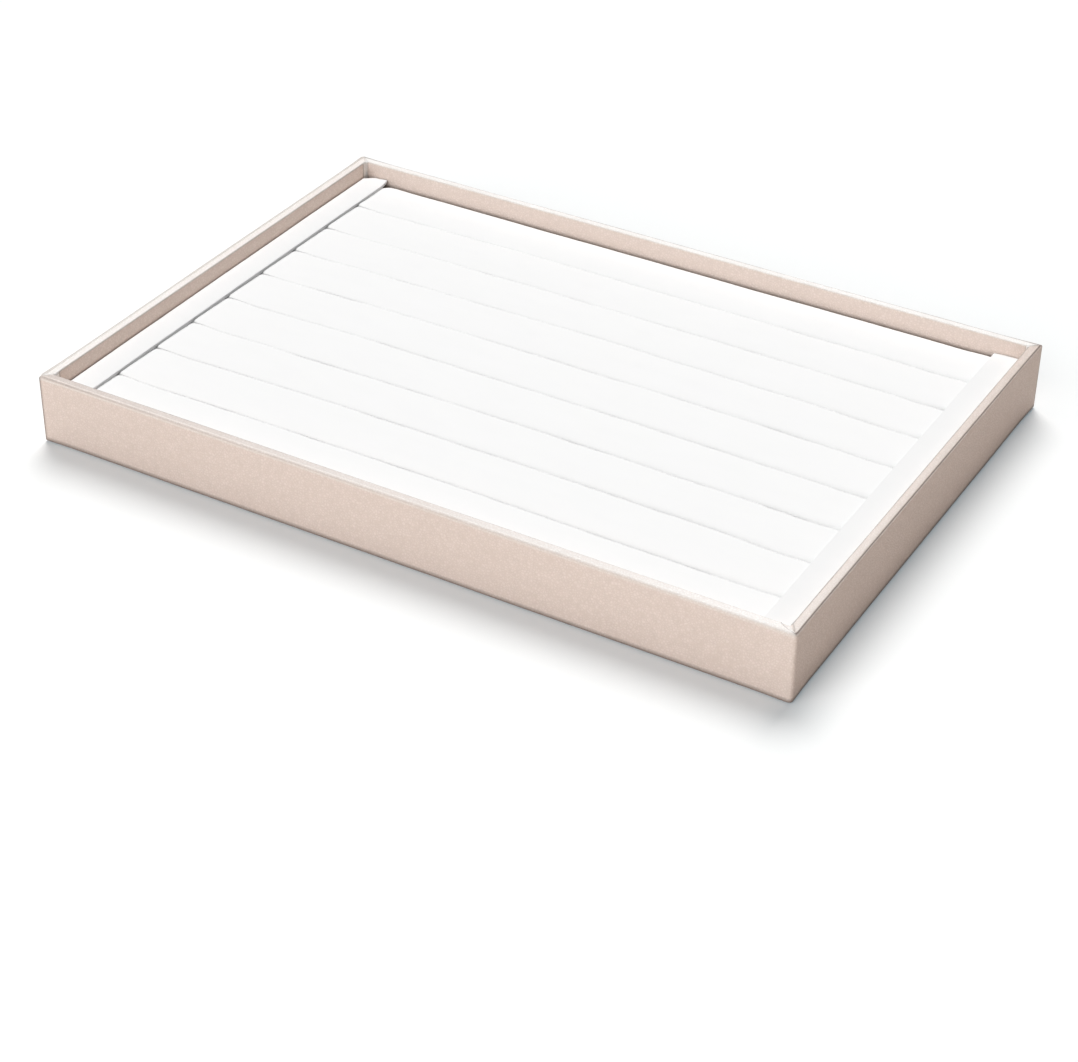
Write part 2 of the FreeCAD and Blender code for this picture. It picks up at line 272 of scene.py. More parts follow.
def quarter_turn(across, height, radius, start, count=8):
    """Quarter circle about a centre, turning clockwise from a start angle, without its last point."""
    angle = start - np.linspace(0, math.pi / 2, count + 1)[:-1]
    return np.stack([across + radius * np.cos(angle), height + radius * np.sin(angle)], 1)


def straight_run(start, end, count):
    """Evenly spaced points from start up to, but without, the end."""
    share = np.linspace(0, 1, count + 1)[:-1, None]
    return np.array(start) * (1 - share) + np.array(end) * share


def wrap_section():
    """Outside of the wrap as (inward distance, height): straight runs joined by quarter circles."""
    foot, top = wrap_low.z, RIM_HEIGHT
    runs = [
        straight_run((TURN_IN, foot), (FOOT_RADIUS, foot), 8),
        quarter_turn(FOOT_RADIUS, foot + FOOT_RADIUS, FOOT_RADIUS, -math.pi / 2),
        straight_run((0, foot + FOOT_RADIUS), (0, top - OUTER_RIM_RADIUS - UPPER_FACE), 18),
        straight_run((0, top - OUTER_RIM_RADIUS - UPPER_FACE), (0, top - OUTER_RIM_RADIUS), 12),
        quarter_turn(OUTER_RIM_RADIUS, top - OUTER_RIM_RADIUS, OUTER_RIM_RADIUS, math.pi, 24),
        straight_run((OUTER_RIM_RADIUS, top), (WALL - INNER_RIM_RADIUS, top), 40),
        quarter_turn(WALL - INNER_RIM_RADIUS, top - INNER_RIM_RADIUS, INNER_RIM_RADIUS, math.pi / 2),
        straight_run((WALL, top - INNER_RIM_RADIUS), (WALL, BASE_TOP), 14),
        [(WALL, BASE_TOP)],
    ]
    return np.concatenate(runs)


def outward(section):
    """Unit normals of a section, a quarter turn to the left of its direction of travel."""
    travel = np.gradient(section, axis=0)
    normals = np.stack([-travel[:, 1], travel[:, 0]], 1)
    return normals / np.linalg.norm(normals, axis=1, keepdims=True)


def side_columns(half_length):
    """Columns along a side: its share of the half length, its turn round the corner, and its setback."""
    turn = np.linspace(math.pi / 4, 0, 8)[:-1]
    setback = np.arange(0, FOLD_ZONE, FOLD_STEP)
    middle = np.linspace(1, -1, int(2 * half_length / MIDDLE_STEP))
    end = np.ones(len(turn) + len(setback))
    shares = np.concatenate([end, middle, -end])
    end_turns = np.concatenate([turn, np.zeros(len(setback))])
    turns = np.concatenate([end_turns, np.zeros(len(middle)), end_turns[::-1]])
    end_setbacks = np.concatenate([np.zeros(len(turn)), setback])
    setbacks = np.concatenate([end_setbacks, np.full(len(middle), FOLD_ZONE), end_setbacks[::-1]])
    return shares, turns, setbacks


def bell(distance, width):
    """1 at no distance, falling away as a bell curve of a width."""
    return np.exp(-((distance / width) ** 2))


def crease_line(inward, slope, curve):
    """How far from a side's end its crease lies: further in from the rim's edge, further from the end."""
    return slope * inward - curve * inward**2 / MM


def from_end_to_end(shares, along, half_length):
    """A share that changes evenly along a side, from its first end's to its second end's."""
    return shares[0] + (shares[1] - shares[0]) * (along / half_length + 1) / 2


def past_outer_turn(section):
    """Length along a section from where it begins to turn over the rim's outer edge."""
    run = np.cumsum(np.linalg.norm(np.diff(section, axis=0, prepend=section[:1]), axis=1))
    turn = np.argmax(section[:, 1] > RIM_HEIGHT - OUTER_RIM_RADIUS - TURN_TOLERANCE)
    return (run - run[turn])[:, None]


def wrap_lines_and_shade(side, along, section, normals, half_length):
    """Share of dark colour, as bell curves: the rim's seam, partly the sheet's cut edge and partly painted
    shade, and painted shade along the rim's two edges and over its top, at the foot, along the insert's
    gap, in the crease at each of the side's ends, in the fold onto each inner corner and down each outer
    corner edge."""
    inward, height = section[:, :1], section[:, 1:]
    on_rim = np.clip(normals[:, 1:], 0, 1)
    on_inner_face = np.clip(normals[:, :1], 0, 1)
    on_outer_face = np.clip(-normals[:, :1], 0, 1)
    # Seam line: partly the sheet's cut edge, partly painted shade in its groove
    strength = from_end_to_end(SEAM_STRENGTHS[side], along, half_length)
    seam_and_shade = strength * on_rim * bell(inward - SEAM_PLACES[side], SEAM_WIDTHS[side])
    # Painted contact shade along the foot
    foot = FOOT_SHADE * smooth_step(2 * on_outer_face) * bell(height - wrap_low.z, FOOT_SHADE_HEIGHT)
    # Painted shade along the gap beside the insert
    gap_shade = GAP_SHADE * on_inner_face * bell(height - GAP_SHADE_HEIGHTS[side], GAP_SHADE_WIDTHS[side])
    # Painted shade over the rim's top, changing from end to end
    rim_top = on_rim * smooth_step((inward - OUTER_RIM_RADIUS) / RIM_TOP_RUN)
    rim_shade = from_end_to_end(RIM_SHADE[side], along, half_length) * rim_top
    past_turn = past_outer_turn(section)
    # Dark line along the outer turn: partly the seam, partly painted shade
    near_first_end = smooth_step(1 - (along + half_length) / OUTER_SEAM_CORNER_RUN)
    strength = from_end_to_end(OUTER_SEAM_SHADES[side], along, half_length)
    strength = strength + OUTER_SEAM_CORNER_SHADES[side] * near_first_end
    off_seam = past_turn - from_end_to_end(OUTER_SEAM_PLACES, along, half_length)
    outer_shade = strength * bell(off_seam, OUTER_SEAM_WIDTH)
    # Painted shade along the rim's inner edge
    inner_edge = OUTER_RIM_RADIUS * math.pi / 2 + WALL - INNER_RIM_RADIUS - OUTER_RIM_RADIUS
    strength = from_end_to_end(INNER_EDGE_SHADES[side], along, half_length)
    inner_shade = strength * bell(past_turn - inner_edge - INNER_EDGE_PLACES[side], INNER_EDGE_WIDTH)
    lines = np.maximum(seam_and_shade + foot + gap_shade + rim_shade + outer_shade, inner_shade)
    for end, edge_shade_strength, crease in zip((-1, 1), EDGE_SHADES[side], RIM_CREASES[side]):
        slope, curve, _, strength = crease
        from_end = half_length - end * along
        # Painted shade along the crease's step
        off_crease = from_end - crease_line(inward, slope, curve)
        lines = np.maximum(lines, strength * on_rim * bell(off_crease, CREASE_SHADE_WIDTH))
        # Painted shade in the fold onto the inner corner's bridge, and down the outer corner edge
        off_corner = from_end - WALL - CORNER_LINE_PLACES[side]
        corner = CORNER_SHADES[side] * on_inner_face * bell(off_corner, CORNER_SHADE_WIDTH)
        edge = edge_shade_strength * on_outer_face * bell(from_end, EDGE_SHADE_WIDTH)
        lines = np.maximum(lines, np.maximum(corner, edge))
    return np.clip(lines, 0, 1)


def wrap_wear_and_sheen(side, along, section, normals, half_length):
    """Share of paler colour: wear with a painted sheen on the rim's top, in slow drifts, a painted
    highlight on its outer edge, and a painted highlight where the sheet bridges the inner corners."""
    rng = np.random.default_rng(WEAR_SEED + SIDES.index(side))
    on_rim = np.clip(normals[:, 1:], 0, 1)
    on_inner_face = np.clip(normals[:, :1], 0, 1)
    # Wear with a painted sheen on the rim's top
    wear_and_sheen = from_end_to_end(RIM_WEAR_AND_SHEEN[side], along, half_length) * on_rim ** RIM_WEAR_AND_SHEEN_SPREADS[side]
    wear_and_sheen = wear_and_sheen * (1 - WEAR_DRIFT + WEAR_DRIFT * slow_waves(rng, along, WEAR_DRIFT_LENGTH))
    # Painted highlight along the rim's outer turn
    off_edge = past_outer_turn(section) - from_end_to_end(RIM_EDGE_HIGHLIGHT_PLACES, along, half_length)
    edge_highlight = from_end_to_end(RIM_EDGE_HIGHLIGHT[side], along, half_length)
    wear_and_sheen = np.maximum(wear_and_sheen, edge_highlight * bell(off_edge, RIM_EDGE_HIGHLIGHT_WIDTH))
    for end in (-1, 1):
        off_corner = half_length - end * along - WALL
        # Painted highlight over the inner corner's bridge
        bridge = smooth_step((CORNER_LINE_PLACES[side] - off_corner) / CREASE_SOFTNESS)
        wear_and_sheen = wear_and_sheen + CORNER_HIGHLIGHT * on_inner_face * bridge
    return np.clip(wear_and_sheen, 0, 1)


def wrap_relief(side, along, inward, normals, half_length):
    """Relief of the wrap: a seam sunk along the rim's outer edge, a slow fall towards it, a bead where the
    sheet stands off that edge, a sag at the foot, a step down at each end's crease, a swell over the ends
    folded in at each corner, and long shallow waves on the walls."""
    rng = np.random.default_rng(RELIEF_SEED + SIDES.index(side))
    on_rim = np.clip(normals[:, 1], 0, 1)[:, None]
    on_walls = np.abs(normals[:, 0])[:, None]
    on_outer_face = np.clip(-normals[:, 0], 0, 1)[:, None]
    # The seam's groove, on the same line whose colour is darkened
    strength = np.clip(from_end_to_end(SEAM_STRENGTHS[side], along, half_length), 0, 1)
    seam_and_shade = strength * bell(inward - SEAM_PLACES[side], SEAM_WIDTHS[side])
    fall = RIM_FALLS[side] * smooth_step((RIM_FALL_REACH - inward) / RIM_FALL_REACH)
    relief = -on_rim * (SEAM_DEPTH * seam_and_shade + fall)
    relief = relief + WALL_WAVE * on_walls * slow_waves(rng, along, WALL_WAVE_LENGTH)
    on_outer_turn = np.clip(normals[:, 1] - normals[:, 0] - 1, 0, 1)[:, None] / (math.sqrt(2) - 1)
    off_ends = smooth_step((half_length - np.abs(along)) / BEAD_END_RUN)
    relief = relief + RIM_BEADS[side] * on_outer_turn * off_ends
    on_foot = np.clip(-normals[:, 1], 0, 1)[:, None]
    relief = relief + FOOT_SAG * on_foot * bell(inward - FOOT_RADIUS, FOOT_SAG_REACH)
    for end, (slope, curve, depth, _) in zip((-1, 1), RIM_CREASES[side]):
        from_end = half_length - end * along
        off_crease = from_end - crease_line(inward, slope, curve)
        step = smooth_step(-off_crease / CREASE_SOFTNESS)
        rolled_edge = bell(off_crease - CREASE_SOFTNESS, 2 * CREASE_SOFTNESS)
        relief = relief + on_rim * depth * (ROLLED_EDGE * rolled_edge - step)
        relief = relief + CORNER_SWELL * on_outer_face * bell(from_end, CORNER_SWELL_REACH)
    return relief


def lay_along(side, section_inward, section_height, half_length):
    """Carry a section along one side and round half of each corner: by a quarter circle on the outside,
    and on the inside by a quarter of an ellipse that is longer along the short walls."""
    shares, turns, setbacks = side_columns(half_length)
    bridge_along, bridge_inward = BRIDGE_ALONG_LONG, BRIDGE_ALONG_SHORT
    if side in ("left", "right"):
        bridge_along, bridge_inward = bridge_inward, bridge_along
    inner_share = np.clip(section_inward / WALL, 0, 1) ** BRIDGE_SHARPNESS
    corner_radius = np.where(shares < 0, *OUTER_CORNER_RADII[side])
    radius_along = corner_radius + (bridge_along - corner_radius) * inner_share
    radius_inward = corner_radius + (bridge_inward - corner_radius) * inner_share
    along = shares * (half_length - section_inward - radius_along * (1 - np.sin(turns)) - setbacks)
    inward = section_inward + radius_inward * (1 - np.cos(turns))
    height = np.broadcast_to(section_height, along.shape)
    if side == "front":
        return along, np.stack([along, inward - HALF_WIDTH, height], -1)
    if side == "back":
        return along, np.stack([-along, HALF_WIDTH - inward, height], -1)
    if side == "right":
        return along, np.stack([HALF_LENGTH - inward, along, height], -1)
    return along, np.stack([inward - HALF_LENGTH, -along, height], -1)


def grid_faces(rows, columns, first=0):
    """Quads between neighbouring rows and columns of a grid of points numbered row by row."""
    corner = first + np.arange(rows - 1)[:, None] * columns + np.arange(columns - 1)
    return np.stack([corner, corner + 1, corner + columns + 1, corner + columns], -1).reshape(-1, 4)


def ring_faces(outer_ring, inner_ring):
    """Quads between two closed rings of as many points."""
    return np.stack([outer_ring, inner_ring, np.roll(inner_ring, -1), np.roll(outer_ring, -1)], 1)


def sheet_mesh(outside, inside):
    """Closed skin of a thick sheet: its outside grid, its inside grid turned over, and its four edges."""
    rows, columns = outside.shape[:2]
    count = rows * columns
    number = np.arange(count).reshape(rows, columns)
    ring = np.concatenate([number[0, :-1], number[:-1, -1], number[-1, :0:-1], number[:0:-1, 0]])
    top = grid_faces(rows, columns)
    under = grid_faces(rows, columns, count)[:, ::-1]
    points = np.concatenate([outside.reshape(-1, 3), inside.reshape(-1, 3)])
    return points, np.concatenate([top, under, ring_faces(ring, ring + count)])


def new_piece(name, points, faces, material):
    """Mesh object at the origin, smooth but for its sharp edges, with its faces turned outwards."""
    corners = points[faces[:, :3]]
    fourth = points[faces[:, -1]]
    swept = np.cross(corners[:, 1] - corners[:, 0], corners[:, 2] - corners[:, 0])
    swept = swept + np.cross(corners[:, 2] - corners[:, 0], fourth - corners[:, 0])
    middle = points[faces].mean(1) - points.mean(0)
    if (middle * swept).sum() < 0:
        faces = faces[:, ::-1]
    mesh = bpy.data.meshes.new(name)
    mesh.from_pydata(points.tolist(), [], faces.tolist())
    mesh.polygons.foreach_set("use_smooth", np.ones(len(faces), bool))
    mesh.set_sharp_from_angle(angle=SHARP_ANGLE)
    piece = bpy.data.objects.new(name, mesh)
    bpy.context.scene.collection.objects.link(piece)
    dress(piece, material)
    return piece


def leatherette():
    """Champagne coated sheet: pebbles a little over a millimetre wide, their tops paler and smoother than
    the valleys between them, over clouds and slow drifts of tone, paler on the rim from wear and a painted
    sheen and highlights, and dark at seams, partly the sheet's cut edge, and as painted shade in creases
    and gaps."""
    finish = Finish("leatherette", {"Specular IOR Level": 0.08, "Coat Roughness": 0.38})
    wobble = finish.node("VectorMath", {"operation": "MULTIPLY_ADD"}, {
        0: finish.node("TexNoise", inputs={"Vector": finish.place, "Scale": 700.0}, output="Color"),
        1: (0.5 * MM, 0.5 * MM, 0.5 * MM),
        2: finish.place,
    })
    edge = finish.node("TexVoronoi", {"feature": "DISTANCE_TO_EDGE"}, {"Vector": wobble, "Scale": 820.0})
    pebble = finish.ramp(edge, 0.0, 0.32)
    fine = finish.noise(4200, 2.0)
    cloud = finish.ramp(finish.noise(430, 3.0), 0.3, 0.7)
    drift = finish.noise(22, 2.0)
    pale = finish.mix(0.6 * cloud + 0.4 * drift, (0.803, 0.661, 0.588, 1), (0.733, 0.600, 0.526, 1))
    grained = finish.mix(0.40 - 0.40 * pebble, pale, (0.60, 0.462, 0.379, 1))
    # Paler colour: partly wear, partly a painted sheen on the rim and painted highlights on its outer edge
    # and inner corners
    worn_and_sheen = finish.node("Attribute", {"attribute_name": "worn_and_sheen"}, output="Fac")
    rubbed_and_sheen = finish.mix(worn_and_sheen * (0.7 + 0.3 * pebble), grained, (0.855, 0.796, 0.747, 1))
    # Dark colour: partly the sheet's cut edge at seams, partly painted shade in grooves, creases, folds,
    # gaps and at the foot
    seam_and_shade = finish.node("Attribute", {"attribute_name": "seam_and_shade"}, output="Fac")
    finish.feed("Base Color", finish.mix(0.85 * seam_and_shade, rubbed_and_sheen, (0.14, 0.095, 0.075, 1)))
    finish.feed("Roughness", 0.52 - 0.16 * pebble + 0.06 * drift)
    finish.feed("Coat Weight", 0.4 * worn_and_sheen * (1.0 - seam_and_shade))
    finish.feed("Normal", finish.bump(pebble + 0.25 * fine, 0.085 * MM))
    return finish.material


def paint(piece, name, shares):
    """Store one number for each of a piece's points under a name that its material reads."""
    piece.data.attributes.new(name, "FLOAT", "POINT").data.foreach_set("value", shares.ravel())


wrap_finish = leatherette()
for side in SIDES:
    half = TRAY_HALVES[side]
    section = wrap_section()
    normals = outward(section)
    along = lay_along(side, section[:, :1], section[:, 1:], half)[0]
    relief = wrap_relief(side, along, section[:, :1], normals, half)
    raised_inward = section[:, :1] + normals[:, :1] * relief
    raised_height = section[:, 1:] + normals[:, 1:] * relief
    outside = lay_along(side, raised_inward, raised_height, half)[1]
    backing = section - WRAP_THICKNESS * normals
    inside = lay_along(side, backing[:, :1], backing[:, 1:], half)[1]
    wrap = new_piece(f"{side}_wrap_skin", *sheet_mesh(outside, inside), wrap_finish)
    blank_or_edge_shade = np.zeros(along.shape)
    # Painted into the sheet: dark lines, partly its cut edge at seams and partly painted shade, and paler
    # colour from wear with a painted sheen and highlights
    paint(wrap, "seam_and_shade", np.stack([wrap_lines_and_shade(side, along, section, normals, half), blank_or_edge_shade]))
    paint(wrap, "worn_and_sheen", np.stack([wrap_wear_and_sheen(side, along, section, normals, half), blank_or_edge_shade]))
    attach(wrap, "tray")
    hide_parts(f"{side}_wrap")

# Floor liner and bottom felt: a flocked paper glued to the well's floor, and a thin felt under the base.
# The felt's border lies on the turned-in wrap, and its middle steps up to the board between the turn-ins.
SHEET_STATION = 4.0 * MM
SHEET_WAVE = 0.04 * MM
SHEET_WAVE_LENGTH = 50.0 * MM
SHEET_SEED = 250
FELT_THICKNESS = 0.6 * MM
FELT_STEP_RUN = 6.0 * MM


def laid_sheet(node, thickness, border, rise):
    """Top and under side of a flat sheet as grids: slow waves, and a smooth step up inside its border."""
    low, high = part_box(node)
    across = np.linspace(low.x, high.x, int((high.x - low.x) / SHEET_STATION))
    along = np.linspace(low.y, high.y, int((high.y - low.y) / SHEET_STATION))
    x, y = np.meshgrid(across, along)
    from_edge = np.minimum(np.minimum(x - low.x, high.x - x), np.minimum(y - low.y, high.y - y))
    rng = np.random.default_rng(SHEET_SEED)
    waves = slow_waves(rng, x, SHEET_WAVE_LENGTH) * slow_waves(rng, y, SHEET_WAVE_LENGTH)
    waves = waves * smooth_step(from_edge / FELT_STEP_RUN)
    lifted = rise * smooth_step((from_edge - border) / FELT_STEP_RUN) + SHEET_WAVE * np.abs(waves)
    under = np.stack([x, y, low.z + lifted], -1)
    return under + np.array([0, 0, thickness]), under


def flocked(name, colour, fibre_scale, depth):
    """Short matted fibres: fine light and dark specks, a soft nap and a rough relief."""
    finish = Finish(name, {
        "Roughness": 0.95,
        "Specular IOR Level": 0.15,
        "Sheen Weight": 0.3,
        "Sheen Roughness": 0.5,
    })
    fibre = finish.noise(fibre_scale, 6.0)
    drift = finish.noise(40, 2.0)
    dark = tuple(0.72 * part for part in colour)
    finish.feed("Base Color", finish.mix(0.75 * fibre + 0.25 * drift, (*dark, 1), (*colour, 1)))
    finish.feed("Normal", finish.bump(fibre, depth))
    return finish.material


liner_low, liner_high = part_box("floor_liner")
liner_grids = laid_sheet("floor_liner", liner_high.z - liner_low.z - SHEET_WAVE, 0.0, 0.0)
liner_finish = flocked("liner_paper", (0.66, 0.57, 0.49), 2600, 0.05 * MM)
liner = new_piece("well_liner", *sheet_mesh(*liner_grids), liner_finish)
felt_low, felt_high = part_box("bottom_felt")
felt_rise = felt_high.z - felt_low.z - FELT_THICKNESS - SHEET_WAVE
felt_grids = laid_sheet("bottom_felt", FELT_THICKNESS, TURN_IN - FELT_STEP_RUN, felt_rise)
felt_finish = flocked("base_felt", (0.52, 0.45, 0.39), 1700, 0.16 * MM)
felt = new_piece("base_felt", *sheet_mesh(*felt_grids), felt_finish)
for piece, node in ((liner, "floor_liner"), (felt, "bottom_felt")):
    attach(piece, "tray")
    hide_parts(node)

# Insert card: two-millimetre greyboard, cut square, that carries the bars and lifts out with them.
# The bars are glued to it side by side.


def greyboard():
    """Recycled card: grey with paler and darker specks of fibre."""
    finish = Finish("greyboard", {"Roughness": 0.9, "Specular IOR Level": 0.2})
    speck = finish.noise(1500, 5.0)
    cloud = finish.noise(120, 3.0, (1, 1, 4))
    grey = finish.mix(speck, (0.24, 0.23, 0.21, 1), (0.52, 0.51, 0.47, 1))
    finish.feed("Base Color", finish.mix(0.3 * cloud, grey, (0.44, 0.42, 0.38, 1)))
    finish.feed("Normal", finish.bump(speck, 0.05 * MM))
    return finish.material


card_finish = greyboard()
dress(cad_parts["insert_card"], card_finish)

# Ring bars: foam blocks in open-ended sleeves of white brushed microfibre, set side by side, so that the
# seam between two neighbours is the slot that grips a ring. The strips press their ends flat, and between
# the strips they swell a little, bow sideways and round over into the slots.
BAR_COUNT = sum(node.startswith("bar_cover_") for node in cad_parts)
BAR_STATION = 1.6 * MM
BESIDE_STRIP = np.concatenate([np.linspace(-0.8, 0.8, 17), np.linspace(1.1, 4.1, 11)]) * MM
COVER_THICKNESS = 0.45 * MM
FOAM_INSET = 0.5 * MM
FOAM_RECESS = 0.3 * MM
BAR_CROWN = 0.60 * MM
BAR_DOME = 0.50 * MM
BAR_RIPPLE = 0.12 * MM
RIPPLE_LENGTH = 110.0 * MM
BAR_END_RADIUS = 1.0 * MM
BAR_FOOT_RADIUS = 0.9 * MM
SHOULDER_WIDTHS = (3.4 * MM, 2.8 * MM)
SHOULDER_HEIGHTS = (0.80 * MM, 1.70 * MM)
HELD_SHOULDER = 0.15
HELD_RUN = 22.0 * MM
PUCKER = 0.16
PUCKER_LENGTH = 45.0 * MM
BACK_SHOULDER_RADIUS = 0.35 * MM
SLOT_GAPS = (0.04, 0.05, 0.06, 0.08, 0.07, 0.06, 0.08, 0.06)
SLOT_GAP_SHARES = (0.5, 1.0)
SLOT_BOWS = (1.3, 2.6, 1.6, 2.0, 2.3, 2.6, 1.8, 1.5)
SLOT_END_SHIFT = 1.0 * MM
SLOT_SWAY = 0.40 * MM
SWAY_LENGTH = 260.0 * MM
SLOT_FLARE = 0.35 * MM
FLARE_REACH = 2.0 * MM
FLARE_GAP_SHARE = 0.25
FLARE_BACK_SHARE = 1.5
PINCH_GAP = 0.40 * MM
PINCH_DROP = 1.5 * MM
PINCH_REACH = 1.2 * MM
LEAN_DROP = 0.7 * MM
LEAN_REACH = 4.0 * MM
BULGE_RUNS = (0.8 * MM, 0.12 * MM)
BULGE_START = 0.05 * MM
HELD_CROWN = 0.15
CROWN_RUN = 16.0 * MM
PRESS_RUN = 40.0 * MM
STRIP_SEAT = 0.04 * MM
BACK_DRAW_IN = 1.45 * MM
BACK_CORNER_DRAW_IN = 1.6 * MM
BACK_EDGE_DROP = 0.55 * MM
LID_SHARES = (0.6, 0.2)
SLOT_SEED, BAR_SEED = 300, 500

bar_boxes = [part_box(f"bar_cover_{number}") for number in range(1, BAR_COUNT + 1)]
BAR_LOW, BAR_HIGH = bar_boxes[0][0], bar_boxes[-1][1]
STRIP_INNER_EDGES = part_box("left_strip_cover")[1].x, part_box("right_strip_cover")[0].x
STRIP_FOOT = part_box("left_strip_cover")[0].z


def bar_stations():
    """Places along a bar with their inset: close together round each rounded end and beside the strips."""
    turn = np.linspace(0, math.pi / 2, 6)
    end_place = BAR_END_RADIUS * (1 - np.cos(turn))
    end_inset = BAR_END_RADIUS * (1 - np.sin(turn))
    low, high = BAR_LOW.x + BAR_END_RADIUS, BAR_HIGH.x - BAR_END_RADIUS
    even = np.linspace(low, high, int((high - low) / BAR_STATION))[1:-1]
    beside = np.concatenate([STRIP_INNER_EDGES[0] + BESIDE_STRIP, STRIP_INNER_EDGES[1] - BESIDE_STRIP])
    middle = np.unique(np.concatenate([even, beside]))
    places = np.concatenate([BAR_LOW.x + end_place, middle, (BAR_HIGH.x - end_place)[::-1]])
    insets = np.concatenate([end_inset, np.zeros(len(middle)), end_inset[::-1]])
    return places, insets


def clear_of_strips(places):
    """How far each place lies inside the nearer strip's inner edge."""
    return np.minimum(places - STRIP_INNER_EDGES[0], STRIP_INNER_EDGES[1] - places)


def slot_line(number, places):
    """Sideways place of the slot behind a bar: held at the strips, bowed and swaying between them."""
    nominal = (bar_boxes[number - 1][1].y + bar_boxes[number][0].y) / 2
    rng = np.random.default_rng(SLOT_SEED + number)
    free = np.clip(clear_of_strips(places), 0, None)
    bow = SLOT_BOWS[number - 1] * MM * np.sin(math.pi / 2 * free / free.max())
    sway = SLOT_SWAY * smooth_step(free / PRESS_RUN) * slow_waves(rng, places, SWAY_LENGTH)
    return nominal - SLOT_END_SHIFT + bow + sway


def bar_sides(number, places):
    """Front and back side of a bar: half a slot's gap off each slot, wider where a strip pulls it open, and
    pinched in beside the left strip. Gives the flare and the pinch's share too."""
    free = np.clip(clear_of_strips(places), 0, None)
    flare = SLOT_FLARE * np.exp(-free / FLARE_REACH)
    pinch = np.where(places < 0, np.exp(-free / PINCH_REACH), 0)
    opening = FLARE_GAP_SHARE * flare + PINCH_GAP * pinch
    gap_shares = np.interp(places, STRIP_INNER_EDGES, SLOT_GAP_SHARES)
    half_gaps = np.multiply.outer(SLOT_GAPS, gap_shares) * MM / 2
    front = np.full(len(places), bar_boxes[number - 1][0].y)
    back = np.full(len(places), bar_boxes[number - 1][1].y)
    if number > 1:
        front = slot_line(number - 1, places) + half_gaps[number - 2] + opening
    if number < BAR_COUNT:
        back = slot_line(number, places) - half_gaps[number - 1] - opening
    else:
        back = back - BACK_DRAW_IN - FLARE_BACK_SHARE * flare - BACK_CORNER_DRAW_IN * pinch
    return front, back, flare, pinch


